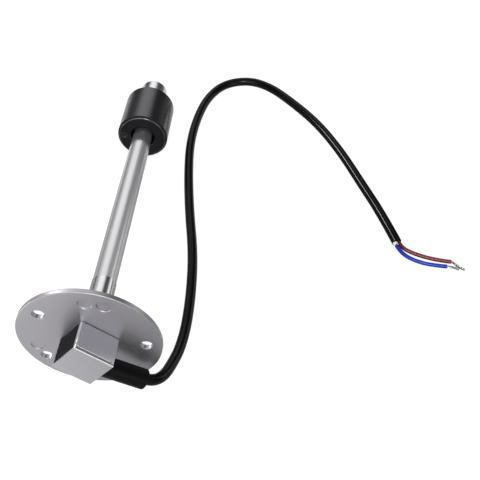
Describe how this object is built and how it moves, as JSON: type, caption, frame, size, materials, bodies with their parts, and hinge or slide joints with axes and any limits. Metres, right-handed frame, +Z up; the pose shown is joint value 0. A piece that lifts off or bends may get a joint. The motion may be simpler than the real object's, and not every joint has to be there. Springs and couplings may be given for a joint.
{
  "type": "fuel level sender",
  "caption": "Fuel level sender: a drilled steel flange with a potted terminal housing and lead, a slim stem with a reed switch ladder inside, and a magnet float that slides along it",
  "frame": {"origin": "On the surface the sender lies on, under the centre of the box round its rigid pieces without the free lead.", "axes": "+Z is up from the surface, +Y runs along the stem's shadow from the flange to the tip, and +X points to the side that the lead leaves on."},
  "size_m": [0.2289, 0.2539, 0.0688],
  "materials": {
    "satin_steel": "satin",
    "polished_steel": "polished",
    "resin": "cast",
    "sleeve_rubber": "matte",
    "liner": "matte",
    "board": "solder mask",
    "reed_glass": "clear",
    "resistor": "matte",
    "brown_insulation": "satin",
    "blue_insulation": "satin",
    "sheath": "gloss",
    "tinned_strand": "tinned",
    "float_rubber": "matte",
    "ferrite": "sintered"
  },
  "bodies": {
    "sender": {"flange": "satin_steel", "terminal_housing": "satin_steel", "potting_resin": "resin", "cable_sleeve": "sleeve_rubber", "stem_tube": "polished_steel", "stem_collar": "polished_steel", "end_stop": "polished_steel", "board_sleeve": "liner", "circuit_board": "board", "reed_switches": "reed_glass", "resistors": "resistor", "inner_lead_brown": "brown_insulation", "inner_lead_blue": "blue_insulation", "cable_sheath": "sheath", "brown_wire": "brown_insulation", "blue_wire": "blue_insulation", "brown_strands": "tinned_strand", "blue_strands": "tinned_strand"},
    "float": {"float_body": "float_rubber", "float_magnet": "ferrite"}
  },
  "joints": [
    {"name": "float_slide", "type": "slide", "parent": "sender", "child": "float", "axis": [0, -0.9951, 0.0994], "range_m": [0, 0.1532]}
  ]
}
